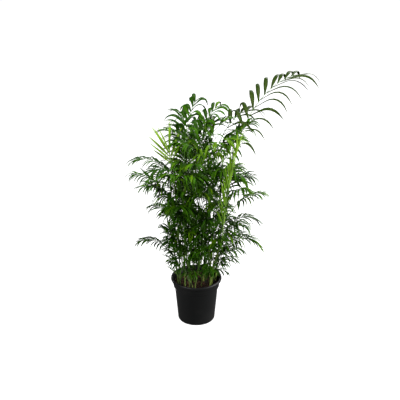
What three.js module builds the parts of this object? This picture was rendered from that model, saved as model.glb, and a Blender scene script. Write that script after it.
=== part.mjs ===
// A parlour palm in its round nursery pot: the pot, the soil in it, the clump of
// slender canes that stands in the soil, and the arching fronds that the canes carry.
// Units are millimetres, +Z is up, and the origin is the middle of the pot's flat underside.
// Headings are in degrees seen from above: 0 is +X (right), 90 is +Y (back), -90 is the front.
import * as THREE from "three";

const DEG = Math.PI / 180;
const UP = new THREE.Vector3(0, 0, 1);
const GAP = 0.3; // clearance that two touching solids keep

// ---- pot ----
const RIM_ACROSS = 172;
const POT_HIGH = 158;
const POT_WALL = 2.5;
const POT_SIDES = 40;
const RIM_R = RIM_ACROSS / 2;
const COLLAR_LOW = 125; // where the plain side steps out to the collar
const COLLAR_HIGH = 145; // where the collar flares out to the rolled rim
const FOOT_R = 62.2;
const SIDE_TOP_R = 73.2;
const COLLAR_R = 78.6;
const FOOT_ROUND = 3;
const RIM_ROLL = 3; // how far the rolled rim curls in at its foot and its top
const STEP_SLOPE = 1; // half the height of the sloping step under the collar
const POT_FLOOR = 4.5; // height of the pot's inner floor

// ---- soil ----
const SOIL_TOP = POT_HIGH - 18;
const SOIL_SLACK = POT_WALL + GAP + 0.1; // the soil's side, inside the pot's outer side
const SOIL_EDGE = 2; // the soil's rounded edge

// ---- canes ----
const CANE_SIDES = 8;
const CANE_STEPS = 6;
const CANE_FOOT_R = 3.6;
const CANE_LOW_R = 2.8;
const CANE_TIP_R = 2.2;
const FLARE_HIGH = 14; // height of the swollen foot
const CANE_LEAN_POWER = 1.6; // a cane rises steeply and leans out near its tip

// ---- fronds ----
const STALK_R = 1.7; // half the stalk's width at its base
const RIB_R = 0.75; // half the rib's width at the frond's tip
const STALK_DEPTH = 1.7; // depth of the three-sided stalk, in half-widths
const STALK_STEP = 30; // length of a plain stretch of the stalk
const SEAT_GAP = GAP + 0.1; // between a stalk's flat back and its cane
const TIP_GAP = GAP + 0.4; // between a cane's tip and the stalk that carries it on
const SPINE_STEPS = 24;
const LEAF_STEPS = 6;
const LEAF_END_SHARE = 0.55; // length of the end leaflets as a share of the longest
const STEEPEST = -86; // slope that a hanging leaflet doesn't pass
const TURNED_UP = 0.25; // share of a leaflet's length over which its face turns upwards
const LEAF_THICK = 1.2;
const LEAF_THICK_SHARE = 1 / 80; // least thickness as a share of the leaflet's length
const LONG_LEAF = 105; // from this length a leaflet has two bends
const ONE_BEND = [[3, 1]]; // step along the leaflet, and share of its full width there
const TWO_BENDS = [[2, 1], [4, 0.78]];
const WIDTH_LIMIT = 0.85; // of the room between two leaflets of one side
const TIP_PAIR_SHARE = 0.97; // where the last pair stands
const TIP_SPIKE = 4; // the rib's point beyond its end

// ---- keeping clear ----
const CELL = 9;
const BLADE_SAMPLE = 2;
const BLADE_ROOM = 1.5; // half the distance that two blades keep between their samples
const STALK_ROOM = 2.9;
const CANE_ROOM = 5;
const STALK_SAMPLE = 4;
const ROOT_FREE = 16; // stretch of a stalk at its base that isn't tested against its own cane
const TURN_TRIES = [0, 5, -5, 10, -10, 16, -16, 23, -23, 31, -31, 40, -40];
const RISE_TRIES = [0, 3, 6, 9, 12, 15, 18, 22, 26];
const LEAF_TRIES = [
  { size: 1, lift: 0, pull: 1 },
  { size: 1, lift: 12, pull: 0.8 },
  { size: 0.95, lift: -12, pull: 1.1 },
  { size: 0.8, lift: 20, pull: 0.6 },
  { size: 0.8, lift: -20, pull: 1 },
  { size: 0.6, lift: 0, pull: 1 },
];
const LEAF_ROOT_FREE = 5; // stretch of a leaflet at its root that isn't tested
const SOIL_ROOM = 8; // no leaflet hangs nearer than this to the soil's level

const paint = (color, roughness) => new THREE.MeshStandardMaterial({ color, roughness });
const BLACK_PLASTIC = paint(0x17181a, 0.55);
const BARK_SOIL = paint(0x4a2c1e, 0.95);
const CANE_GREEN = paint(0x7f9a4a, 0.6);
const LEAF_GREEN = paint(0x3f7d22, 0.6);
const YOUNG_GREEN = paint(0x86b13c, 0.6);

// name: foot x, foot y, lean in x, lean in y, height of the tip
const CANES = {
  a: [-61, -19, -34, 11, 366],
  b: [-54, -32, -10, 8, 415],
  c: [-38, -36, -2, 20, 490],
  d: [-22, -48, -14, -18, 290],
  e: [-4, -52, 24, -22, 265],
  f: [7, 41, 4, 7, 510],
  g: [24, -4, 22, 10, 485],
  h: [51, -28, -9, -24, 285],
  i: [66, 4, 30, -6, 400],
  j: [46, -46, 38, -34, 330],
  k: [-40, 34, -16, 22, 370],
  l: [30, 60, 0, 28, 310],
  m: [-8, -6, -4, 2, 525],
};

// How the leaflets of a frond stand. spread and close: angle to the rib at the first and the
// last pair; lift: angle above the frond's own plane; hang: slope that a leaflet bends down to;
// pull: how far it gets there; knee: share of its length where the bend begins and ends;
// level: how far its face turns upwards, little enough that no leaflet twists into itself;
// bend: how late the rib itself bends over.
const habitOf = (spread, close, lift, hang, pull, knee, level, bend, young = false) => ({
  spread, close, lift, hang, pull, knee, level, bend, young,
});
const OPEN = habitOf(62, 24, 12, -58, 1, [0.05, 1.05], 0.45, 2);
const STEEP = habitOf(40, 16, 10, -52, 1, [0.25, 1.1], 0.3, 2);
const SPARSE = habitOf(48, 20, 8, -45, 1, [0.15, 1], 0.35, 2);
const HIGH = habitOf(60, 24, 9, -56, 1, [0.16, 0.85], 0.3, 2);
const CURLED = habitOf(62, 28, 14, -70, 1, [0.2, 0.8], 0.3, 3);
const FOLDED = habitOf(22, 8, 20, -60, 0.06, [0, 1], 0.1, 1.5, true);
const FANNED = habitOf(40, 8, 6, -60, 0.05, [0, 1], 0.1, 1.5, true);

// name, cane, height on the cane (0: the cane's tip), heading, length, rise at the base,
// slope at the tip, bare share of the length, pairs, leaflet length, leaflet width, habit
const FRONDS = [
  ["tall_right", "i", 0, 33, 553, 84, 1, 0.38, 13, 152, 10, HIGH],
  ["second_right", "g", 0, 38, 309, 82, 0, 0.44, 8, 112, 12, HIGH],
  ["spear_right", "j", 0, -32, 338, 86, 74, 0.14, 8, 97, 9, FOLDED],
  ["top_left", "c", 0, 45, 300, 89, 46, 0.42, 10, 92, 9, CURLED],
  ["top_mid", "f", 0, 28, 245, 88, 30, 0.37, 9, 98, 9, CURLED],
  ["young_left", "b", 0, 135, 210, 84, 76, 0.76, 5, 125, 9, FANNED],
  ["crest", "f", 492, -30, 150, 86, 12, 0.36, 8, 82, 9, OPEN],
  ["crest_left", "m", 0, 146, 185, 80, 5, 0.45, 9, 82, 9, OPEN],
  ["crest_right", "g", 440, -12, 215, 80, 0, 0.45, 9, 85, 9, OPEN],
  ["left_high", "k", 0, 178, 278, 86, -20, 0.5, 9, 68, 8, OPEN],
  ["left_mid", "a", 0, 186, 226, 87, 0, 0.5, 9, 66, 8, OPEN],
  ["left_low_mid", "b", 396, 190, 185, 84, -8, 0.5, 9, 62, 8, OPEN],
  ["left_low", "a", 232, 182, 150, 60, -30, 0.45, 8, 48, 8, OPEN],
  ["left_foot", "a", 195, 188, 70, 72, 25, 0.4, 4, 36, 7, SPARSE],
  ["left_front_high", "b", 350, -110, 150, 84, 10, 0.4, 9, 74, 8, OPEN],
  ["left_front", "b", 300, -104, 150, 84, 25, 0.4, 9, 70, 8, STEEP],
  ["left_front_low", "b", 240, -118, 112, 82, 10, 0.4, 8, 60, 8, STEEP],
  ["front_left_top", "c", 410, -115, 200, 84, 25, 0.42, 9, 85, 9, OPEN],
  ["front_left_high", "c", 330, -95, 170, 84, 15, 0.4, 9, 80, 8, OPEN],
  ["front_left", "d", 0, -105, 172, 86, 45, 0.4, 9, 66, 8, STEEP],
  ["front_left_mid", "d", 240, -65, 135, 82, 40, 0.4, 8, 60, 8, STEEP],
  ["front_left_low", "d", 205, -112, 100, 78, 30, 0.4, 7, 50, 8, STEEP],
  ["front", "e", 0, -85, 165, 86, 45, 0.4, 9, 66, 8, STEEP],
  ["front_low", "e", 220, -45, 118, 78, 35, 0.4, 8, 56, 8, STEEP],
  ["front_top", "m", 410, -105, 205, 84, 20, 0.42, 9, 85, 9, OPEN],
  ["front_right_top", "g", 365, -70, 190, 84, 25, 0.42, 9, 74, 9, OPEN],
  ["front_right_high", "g", 290, -35, 160, 82, 20, 0.4, 9, 68, 8, OPEN],
  ["front_right", "h", 0, -100, 165, 86, 45, 0.4, 9, 66, 8, STEEP],
  ["front_right_mid", "h", 238, -120, 130, 82, 35, 0.4, 9, 60, 8, STEEP],
  ["front_right_low", "h", 200, -55, 105, 78, 30, 0.4, 8, 54, 8, STEEP],
  ["right_front", "i", 350, -62, 150, 82, 5, 0.4, 9, 80, 8, OPEN],
  ["right_upper", "g", 385, 5, 220, 74, 0, 0.45, 9, 74, 8, OPEN],
  ["right_mid", "i", 360, -8, 175, 62, 5, 0.45, 8, 58, 8, OPEN],
  ["right_lower", "i", 270, -10, 190, 85, -60, 0.42, 8, 62, 8, OPEN],
  ["right_low", "i", 200, 0, 195, 71, -55, 0.45, 8, 62, 8, OPEN],
  ["right_hem", "i", 178, -30, 110, 76, -29, 0.4, 6, 44, 7, SPARSE],
  ["right_back", "i", 260, 55, 185, 75, -15, 0.4, 9, 76, 8, OPEN],
  ["back_top", "f", 425, 105, 235, 80, 0, 0.42, 9, 85, 9, OPEN],
  ["back_high", "f", 365, 65, 210, 76, -10, 0.4, 9, 80, 8, OPEN],
  ["back", "l", 0, 75, 215, 84, -10, 0.4, 9, 80, 8, OPEN],
  ["back_mid", "l", 265, 120, 185, 72, -20, 0.4, 9, 76, 8, OPEN],
  ["back_low", "l", 225, 35, 165, 68, -25, 0.4, 8, 70, 8, OPEN],
  ["back_left_high", "k", 335, 115, 210, 78, -10, 0.4, 9, 80, 8, OPEN],
  ["back_left", "k", 290, 128, 155, 74, -20, 0.4, 9, 70, 8, OPEN],
  ["back_left_low", "k", 240, 100, 150, 68, -30, 0.4, 8, 68, 8, OPEN],
];

// A store of points, each with its own radius, that answers whether a place is free.
class Space {
  constructor() {
    this.cells = new Map();
  }

  key(x, y, z) {
    return `${Math.floor(x / CELL)},${Math.floor(y / CELL)},${Math.floor(z / CELL)}`;
  }

  claim(points, radius, owner) {
    for (const p of points) {
      const key = this.key(p.x, p.y, p.z);
      if (!this.cells.has(key)) this.cells.set(key, []);
      this.cells.get(key).push({ p, radius, owner });
    }
  }

  free(points, radius, exempt) {
    return points.every((p) => this.freeAt(p, radius, exempt));
  }

  freeAt(p, radius, exempt) {
    for (const dx of [-CELL, 0, CELL]) {
      for (const dy of [-CELL, 0, CELL]) {
        for (const dz of [-CELL, 0, CELL]) {
          for (const other of this.cells.get(this.key(p.x + dx, p.y + dy, p.z + dz)) ?? []) {
            if (other.owner === exempt) continue;
            if (p.distanceTo(other.p) < radius + other.radius) return false;
          }
        }
      }
    }
    return true;
  }
}

// The faces of one closed solid, gathered corner by corner.
class Shell {
  constructor() {
    this.corners = [];
  }

  tri(a, b, c) {
    this.corners.push(a, b, c);
  }

  quad(a, b, c, d) {
    this.tri(a, b, c);
    this.tri(a, c, d);
  }

  mesh(name, material) {
    const places = this.corners.flatMap((p) => [p.x, p.y, p.z]);
    const geometry = new THREE.BufferGeometry();
    geometry.setAttribute("position", new THREE.Float32BufferAttribute(places, 3));
    geometry.computeVertexNormals();
    const mesh = new THREE.Mesh(geometry, material);
    mesh.name = name;
    return mesh;
  }
}

// ---- pot and soil ----
function turned(name, profile, material) {
  const points = profile.map(([r, z]) => new THREE.Vector2(r, z));
  const geometry = new THREE.LatheGeometry(points, POT_SIDES).rotateX(Math.PI / 2);
  const mesh = new THREE.Mesh(geometry, material);
  mesh.name = name;
  return mesh;
}

function pot() {
  const outside = [
    [0, 0],
    [FOOT_R - FOOT_ROUND, 0],
    [FOOT_R, FOOT_ROUND],
    [SIDE_TOP_R, COLLAR_LOW - STEP_SLOPE],
    [COLLAR_R - 1, COLLAR_LOW + STEP_SLOPE],
    [COLLAR_R, COLLAR_HIGH],
    [RIM_R - 1, COLLAR_HIGH + RIM_ROLL],
    [RIM_R, COLLAR_HIGH + 2 * RIM_ROLL],
    [RIM_R, POT_HIGH - RIM_ROLL],
    [RIM_R - RIM_ROLL / 2, POT_HIGH],
  ];
  const inside = [
    [RIM_R - POT_WALL - 2, POT_HIGH],
    [COLLAR_R - POT_WALL, COLLAR_HIGH + 2],
    [COLLAR_R - POT_WALL - 1, COLLAR_LOW + POT_WALL],
    [SIDE_TOP_R - POT_WALL, COLLAR_LOW + STEP_SLOPE],
    [FOOT_R - POT_WALL, POT_FLOOR],
    [0, POT_FLOOR],
  ];
  return turned("pot", [...outside, ...inside], BLACK_PLASTIC);
}

function soil() {
  const profile = [
    [0, POT_FLOOR + GAP],
    [FOOT_R - SOIL_SLACK, POT_FLOOR + GAP],
    [SIDE_TOP_R - SOIL_SLACK, COLLAR_LOW + STEP_SLOPE + 2 * GAP],
    [COLLAR_R - SOIL_SLACK - 1, COLLAR_LOW + POT_WALL + 2 * GAP],
    [COLLAR_R - SOIL_SLACK - 1, SOIL_TOP - SOIL_EDGE / 2],
    [COLLAR_R - SOIL_SLACK - 1 - SOIL_EDGE, SOIL_TOP],
    [0, SOIL_TOP],
  ];
  return turned("soil", profile, BARK_SOIL);
}

// ---- canes ----
function caneAxis(cane, height) {
  const [x, y, leanX, leanY, tip] = CANES[cane];
  const share = ((height - SOIL_TOP) / (tip - SOIL_TOP)) ** CANE_LEAN_POWER;
  return new THREE.Vector3(x + leanX * share, y + leanY * share, height);
}

function caneRadius(cane, height) {
  const tip = CANES[cane][4];
  const share = (height - SOIL_TOP) / (tip - SOIL_TOP);
  const plain = CANE_LOW_R + (CANE_TIP_R - CANE_LOW_R) * share;
  const flare = Math.max(0, 1 - (height - SOIL_TOP) / FLARE_HIGH);
  return plain + (CANE_FOOT_R - CANE_LOW_R) * flare;
}

function ring(cane, height) {
  const middle = caneAxis(cane, height);
  const radius = caneRadius(cane, height);
  const corners = [];
  for (let k = 0; k < CANE_SIDES; k += 1) {
    const turn = (k / CANE_SIDES) * 2 * Math.PI;
    corners.push(
      new THREE.Vector3(radius * Math.cos(turn), radius * Math.sin(turn), 0).add(middle),
    );
  }
  return corners;
}

function caneMesh(cane) {
  const tip = CANES[cane][4];
  const heights = [SOIL_TOP + GAP, SOIL_TOP + FLARE_HIGH];
  for (let k = 1; k <= CANE_STEPS; k += 1) {
    heights.push(SOIL_TOP + FLARE_HIGH + ((tip - SOIL_TOP - FLARE_HIGH) * k) / CANE_STEPS);
  }
  const rings = heights.map((height) => ring(cane, height));
  const shell = new Shell();
  for (let k = 0; k + 1 < rings.length; k += 1) {
    for (let j = 0; j < CANE_SIDES; j += 1) {
      const next = (j + 1) % CANE_SIDES;
      shell.quad(rings[k][j], rings[k][next], rings[k + 1][next], rings[k + 1][j]);
    }
  }
  const last = rings.at(-1);
  for (let j = 1; j + 1 < CANE_SIDES; j += 1) {
    shell.tri(rings[0][0], rings[0][j + 1], rings[0][j]);
    shell.tri(last[0], last[j], last[j + 1]);
  }
  return shell.mesh(`cane_${cane}`, CANE_GREEN);
}

// ---- fronds ----
// The rib's middle line: it leaves the cane at the rise, and bends over to the tip's slope.
function spineOf(frond, turn, rise) {
  const heading = new THREE.Vector3(Math.cos(turn * DEG), Math.sin(turn * DEG), 0);
  const tip = CANES[frond.cane][4];
  const leads = frond.at === 0;
  const root = caneAxis(frond.cane, leads ? tip : frond.at);
  if (leads) root.addScaledVector(UP, TIP_GAP);
  else root.addScaledVector(heading, caneRadius(frond.cane, frond.at) + SEAT_GAP);
  const slope = (share) => (rise + (frond.fall - rise) * share ** frond.habit.bend) * DEG;
  const along = (share) =>
    heading
      .clone()
      .multiplyScalar(Math.cos(slope(share)))
      .addScaledVector(UP, Math.sin(slope(share)));
  const places = [root];
  for (let k = 0; k < SPINE_STEPS; k += 1) {
    const step = along((k + 0.5) / SPINE_STEPS).multiplyScalar(frond.long / SPINE_STEPS);
    places.push(places[k].clone().add(step));
  }
  const side = new THREE.Vector3(-heading.y, heading.x, 0);
  return { frond, places, along, side };
}

function placeOn(spine, share) {
  const at = Math.min(share, 1) * SPINE_STEPS;
  const k = Math.min(Math.floor(at), SPINE_STEPS - 1);
  return spine.places[k].clone().lerp(spine.places[k + 1], at - k);
}

function stalkSamples(spine) {
  const count = Math.ceil(spine.frond.long / STALK_SAMPLE);
  return Array.from({ length: count + 1 }, (_, k) => placeOn(spine, k / count));
}

// Whether the stalk leaves its own cane at once, as far as the cane goes on beside it.
function clearOfCane(spine) {
  const { cane } = spine.frond;
  const tip = CANES[cane][4];
  return stalkSamples(spine).every((p) => {
    if (spine.frond.at === 0 || p.z > tip + GAP) return true;
    const axis = caneAxis(cane, Math.min(p.z, tip));
    const apart = Math.hypot(p.x - axis.x, p.y - axis.y);
    return apart >= caneRadius(cane, Math.min(p.z, tip)) + GAP;
  });
}

// The first heading, near the one asked for, at which the stalk is clear of everything placed.
function settle(frond, space) {
  for (const drop of RISE_TRIES) {
    for (const extra of TURN_TRIES) {
      const spine = spineOf(frond, frond.turn + extra, frond.rise - drop);
      const samples = stalkSamples(spine);
      const outer = samples.filter((p) => p.distanceTo(samples[0]) > ROOT_FREE);
      const inner = samples.filter((p) => p.distanceTo(samples[0]) <= ROOT_FREE);
      if (!clearOfCane(spine)) continue;
      if (!space.free(inner, STALK_ROOM, `cane_${frond.cane}`)) continue;
      if (!space.free(outer, STALK_ROOM, null)) continue;
      space.claim(samples, STALK_ROOM, frond.name);
      return spine;
    }
  }
  throw new Error(`no free place for ${frond.name}`);
}

// The stalk's corners at a share of the frond's length: left, right and below.
function stalkRing(spine, share) {
  const middle = placeOn(spine, share);
  const half = STALK_R + (RIB_R - STALK_R) * share;
  const above = spine.along(share).cross(spine.side);
  return {
    left: middle.clone().addScaledVector(spine.side, half),
    right: middle.clone().addScaledVector(spine.side, -half),
    below: middle.clone().addScaledVector(above, -half * STALK_DEPTH),
  };
}

// The middle line of one leaflet with its blade's width directions, bending down step by step.
function leafLine(spine, share, hand, change) {
  const { frond } = spine;
  const { habit } = frond;
  const u = (share - frond.bare) / (1 - frond.bare);
  const along = spine.along(share);
  const above = along.clone().cross(spine.side);
  const angle = (habit.spread + (habit.close - habit.spread) * u) * DEG;
  const lift = (habit.lift + change.lift) * DEG;
  const swell = Math.sin(Math.PI * (0.18 + 0.72 * u));
  const long = frond.leaf * change.size * (LEAF_END_SHARE + (1 - LEAF_END_SHARE) * swell);
  const first = along
    .clone()
    .multiplyScalar(Math.cos(angle))
    .addScaledVector(spine.side, hand * Math.cos(lift) * Math.sin(angle))
    .addScaledVector(above, Math.sin(lift) * Math.sin(angle));
  const rise = Math.atan2(first.z, Math.hypot(first.x, first.y)) / DEG;
  const bearing = Math.atan2(first.y, first.x);
  const level = new THREE.Vector3(Math.sin(bearing), -Math.cos(bearing), 0);
  const tipwards = first.clone().cross(above).multiplyScalar(hand);
  if (level.dot(tipwards) < 0) level.negate();
  const drop = Math.min(0, (habit.hang - rise) * habit.pull * change.pull);
  const points = [placeOn(spine, share)];
  const widths = [];
  for (let j = 0; j < LEAF_STEPS; j += 1) {
    const at = (j + 0.5) / LEAF_STEPS;
    const bent = THREE.MathUtils.smoothstep(at, ...habit.knee);
    const slope = Math.max(rise + drop * bent, STEEPEST) * DEG;
    const way = new THREE.Vector3(
      Math.cos(slope) * Math.cos(bearing),
      Math.cos(slope) * Math.sin(bearing),
      Math.sin(slope),
    );
    points.push(points[j].clone().addScaledVector(way, long / LEAF_STEPS));
    const plane = way.clone().cross(above).multiplyScalar(hand).normalize();
    widths.push(plane.lerp(level, habit.level * Math.min(1, at / TURNED_UP)).normalize());
  }
  return { points, widths, long, angle };
}

// The rings of a leaflet between its root and its tip: back edge, front edge and keel.
function leafRings(line, wide, thick, hand) {
  const bends = line.long >= LONG_LEAF ? TWO_BENDS : ONE_BEND;
  return bends.map(([step, share]) => {
    const middle = line.points[step];
    const across = line.widths[step - 1];
    const way = line.points[step + 1].clone().sub(line.points[step - 1]).normalize();
    const down = way.clone().cross(across).multiplyScalar(hand).normalize();
    return {
      back: middle.clone().addScaledVector(across, (-wide / 2) * share),
      front: middle.clone().addScaledVector(across, (wide / 2) * share),
      keel: middle.clone().addScaledVector(down, thick),
    };
  });
}

// Points spread over a leaflet's faces, for the test that it is free.
function leafSamples(root, rings, tip) {
  const stops = [{ back: root, front: root }, ...rings, { back: tip, front: tip }];
  const samples = [];
  for (let k = 0; k + 1 < stops.length; k += 1) {
    const a = stops[k];
    const b = stops[k + 1];
    const rows = Math.ceil(a.back.distanceTo(b.back) / BLADE_SAMPLE);
    for (let r = 0; r < rows; r += 1) {
      const back = a.back.clone().lerp(b.back, r / rows);
      const front = a.front.clone().lerp(b.front, r / rows);
      const columns = Math.max(1, Math.ceil(back.distanceTo(front) / BLADE_SAMPLE));
      for (let c = 0; c <= columns; c += 1) samples.push(back.clone().lerp(front, c / columns));
    }
  }
  samples.push(tip);
  return samples;
}

// One leaflet between two stations of the rib, or nothing where no free place is found.
function growLeaf(spine, low, high, hand, space) {
  const { frond } = spine;
  const middle = (low + high) / 2;
  const spacing = (high - low) * 2 * frond.long;
  for (const change of LEAF_TRIES) {
    const line = leafLine(spine, middle, hand, change);
    const wide = Math.min(frond.wide, WIDTH_LIMIT * spacing * Math.sin(line.angle));
    const thick = Math.max(LEAF_THICK, line.long * LEAF_THICK_SHARE);
    const rings = leafRings(line, wide, thick, hand);
    const tip = line.points[LEAF_STEPS];
    const samples = leafSamples(line.points[0], rings, tip);
    const outer = samples.filter((p) => p.distanceTo(line.points[0]) > LEAF_ROOT_FREE);
    if (!space.free(outer, BLADE_ROOM, frond.name)) continue;
    if (tip.z < SOIL_TOP + SOIL_ROOM) continue;
    space.claim(outer, BLADE_ROOM, frond.name);
    return { rings, tip };
  }
  return null;
}

// Adds a leaflet to the shell in place of the stalk's side face with corners a, b, c and d.
function addLeaf(shell, hand, [a, b, c, d], leaf) {
  const tri = (p, q, r) => (hand > 0 ? shell.tri(p, q, r) : shell.tri(p, r, q));
  const quad = (p, q, r, s) => {
    tri(p, q, r);
    tri(p, r, s);
  };
  const [first, ...others] = leaf.rings;
  tri(a, b, first.front);
  tri(a, first.front, first.back);
  tri(b, c, first.front);
  tri(c, first.keel, first.front);
  tri(c, d, first.keel);
  tri(d, a, first.back);
  tri(d, first.back, first.keel);
  let before = first;
  for (const next of others) {
    quad(before.back, before.front, next.front, next.back);
    quad(before.front, before.keel, next.keel, next.front);
    quad(before.keel, before.back, next.back, next.keel);
    before = next;
  }
  tri(before.back, before.front, leaf.tip);
  tri(before.front, before.keel, leaf.tip);
  tri(before.keel, before.back, leaf.tip);
}

function frondMesh(spine, space) {
  const { frond } = spine;
  const plain = Math.max(3, Math.ceil((frond.bare * frond.long) / STALK_STEP));
  const stations = [];
  for (let k = 0; k < plain; k += 1) stations.push((frond.bare * k) / plain);
  const leaved = TIP_PAIR_SHARE - frond.bare;
  for (let k = 0; k <= 2 * frond.pairs; k += 1) {
    stations.push(frond.bare + (leaved * k) / (2 * frond.pairs));
  }
  const rings = stations.map((share) => stalkRing(spine, share));
  const shell = new Shell();
  for (let k = 0; k + 1 < rings.length; k += 1) {
    const a = rings[k];
    const b = rings[k + 1];
    shell.quad(a.right, b.right, b.left, a.left);
    const hand = (k - plain) % 2 === 0 ? 1 : -1;
    const leaf = k < plain ? null : growLeaf(spine, stations[k], stations[k + 1], hand, space);
    if (leaf && hand > 0) addLeaf(shell, hand, [a.left, b.left, b.below, a.below], leaf);
    else shell.quad(a.left, b.left, b.below, a.below);
    if (leaf && hand < 0) addLeaf(shell, hand, [a.right, b.right, b.below, a.below], leaf);
    else shell.quad(a.below, b.below, b.right, a.right);
  }
  const first = rings[0];
  const last = rings.at(-1);
  const tip = placeOn(spine, 1).addScaledVector(spine.along(1), TIP_SPIKE);
  shell.tri(first.left, first.below, first.right);
  shell.tri(last.left, last.right, tip);
  shell.tri(last.below, last.left, tip);
  shell.tri(last.right, last.below, tip);
  return shell.mesh(`frond_${frond.name}`, frond.habit.young ? YOUNG_GREEN : LEAF_GREEN);
}

// ---- the plant in its pot ----
const FIELDS = [
  "name", "cane", "at", "turn", "long", "rise", "fall", "bare", "pairs", "leaf", "wide", "habit",
];
const space = new Space();

function clump() {
  const canes = new THREE.Group();
  for (const cane of Object.keys(CANES)) {
    const tip = CANES[cane][4];
    const samples = [];
    for (let z = SOIL_TOP; z <= tip; z += STALK_SAMPLE) samples.push(caneAxis(cane, z));
    space.claim(samples, CANE_ROOM, `cane_${cane}`);
    canes.add(caneMesh(cane));
  }
  return canes;
}

function crown() {
  const leaves = new THREE.Group();
  const fronds = FRONDS.map((row) =>
    Object.fromEntries(FIELDS.map((field, k) => [field, row[k]])),
  );
  const spines = fronds.map((frond) => settle(frond, space));
  for (const spine of spines) leaves.add(frondMesh(spine, space));
  return leaves;
}

const group = new THREE.Group();
group.name = "parlour_palm";
group.add(pot(), soil(), clump(), crown());

export default group;
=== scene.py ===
"""A parlour palm in its nursery pot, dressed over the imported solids.

The canes and fronds grow by the same rule as the solids, in millimetres, so every stalk stands
where its solid stands. The leaflets are finer and closer than the solids' ones. Headings are in
degrees seen from above: 0 is +X (right), 90 is +Y (back), -90 is the front.
"""

import math
import random
from collections import namedtuple

import bmesh
import bpy
import numpy as np
from mathutils import Matrix, Vector


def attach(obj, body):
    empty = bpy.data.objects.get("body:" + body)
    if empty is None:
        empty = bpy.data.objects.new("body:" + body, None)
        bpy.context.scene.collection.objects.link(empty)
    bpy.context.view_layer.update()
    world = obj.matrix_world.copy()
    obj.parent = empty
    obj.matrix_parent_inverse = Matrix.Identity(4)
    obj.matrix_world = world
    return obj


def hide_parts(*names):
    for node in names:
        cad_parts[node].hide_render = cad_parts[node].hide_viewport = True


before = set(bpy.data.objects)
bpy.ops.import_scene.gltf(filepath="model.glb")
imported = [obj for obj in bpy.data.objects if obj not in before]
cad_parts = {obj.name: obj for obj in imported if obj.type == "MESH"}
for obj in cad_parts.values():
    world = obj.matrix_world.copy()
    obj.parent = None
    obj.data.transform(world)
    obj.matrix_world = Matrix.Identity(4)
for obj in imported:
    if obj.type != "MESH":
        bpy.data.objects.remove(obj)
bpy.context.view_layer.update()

MM = 0.001
UP = (0.0, 0.0, 1.0)

# ---------------- sizes shared with the solids
GAP = 0.3
RIM_R = 86.0
POT_HIGH = 158.0
POT_WALL = 2.5
COLLAR_LOW = 125.0
COLLAR_HIGH = 145.0
FOOT_R = 62.2
SIDE_TOP_R = 73.2
COLLAR_R = 78.6
SOIL_TOP = POT_HIGH - 18.0
SOIL_SLACK = POT_WALL + GAP + 0.1
SOIL_R = COLLAR_R - SOIL_SLACK - 1.0

CANE_FOOT_R = 3.6
CANE_LOW_R = 2.8
CANE_TIP_R = 2.2
FLARE_HIGH = 14.0
CANE_LEAN_POWER = 1.6
SEAT_GAP = GAP + 0.1
TIP_GAP = GAP + 0.4
SPINE_STEPS = 24

CELL = 9.0  # side of a cell in the store of places that are taken
STALK_ROOM = 2.9
CANE_ROOM = 5.0
STALK_SAMPLE = 4.0
ROOT_FREE = 16.0  # a stalk may touch its own cane's room for so far
TURN_TRIES = (0, 5, -5, 10, -10, 16, -16, 23, -23, 31, -31, 40, -40)
RISE_TRIES = (0, 3, 6, 9, 12, 15, 18, 22, 26)

# name: foot x, foot y, lean in x, lean in y, height of the tip
CANES = {
    "a": (-61, -19, -34, 11, 366),
    "b": (-54, -32, -10, 8, 415),
    "c": (-38, -36, -2, 20, 490),
    "d": (-22, -48, -14, -18, 290),
    "e": (-4, -52, 24, -22, 265),
    "f": (7, 41, 4, 7, 510),
    "g": (24, -4, 22, 10, 485),
    "h": (51, -28, -9, -24, 285),
    "i": (66, 4, 30, -6, 400),
    "j": (46, -46, 38, -34, 330),
    "k": (-40, 34, -16, 22, 370),
    "l": (30, 60, 0, 28, 310),
    "m": (-8, -6, -4, 2, 525),
}

# How the leaflets of a frond stand. spread and close: angle to the rib at the first and the
# last pair; lift: angle above the frond's own plane; hang: slope that a leaflet bends to; pull:
# how far it gets there; knee: share of its length where the bend begins and ends; level: how
# far its face turns upwards; bend: how late the rib bends over; more: pairs for each pair of
# the solid; broad: a leaflet's width; loose: how freely its leaflets stray from the comb.
Habit = namedtuple("Habit", "spread close lift hang pull knee level bend more broad loose")
OPEN = Habit(62, 24, 12, -58, 1.0, (0.05, 1.05), 0.9, 2, 1.65, 7.0, 1.4)
FINE = Habit(56, 22, 8, -64, 1.0, (0.02, 0.95), 0.9, 2, 1.9, 5.7, 1.4)
STEEP = Habit(40, 16, 8, -60, 1.0, (0.15, 1.05), 0.7, 2, 1.9, 5.4, 1.7)
SPARSE = Habit(48, 20, 8, -45, 1.0, (0.15, 1.0), 0.8, 2, 1.1, 5.2, 1.5)
BROAD = Habit(58, 24, 12, -54, 1.0, (0.1, 0.95), 0.8, 2, 1.45, 9.6, 1.2)
HIGH = Habit(60, 24, 9, -56, 1.0, (0.22, 0.92), 0.8, 2, 0.85, 15.0, 0.8)
CURLED = Habit(62, 28, 14, -66, 1.0, (0.2, 0.85), 0.7, 3, 1.05, 13.5, 1.0)
FOLDED = Habit(22, 8, 20, -60, 0.06, (0.0, 1.0), 0.1, 1.5, 2.0, 8.0, 1.0)
FANNED = Habit(48, 11, 6, -60, 0.05, (0.0, 1.0), 0.1, 1.5, 1.1, 8.4, 1.0)

Frond = namedtuple("Frond", "name cane at turn long rise fall bare pairs leaf habit tint")

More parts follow.
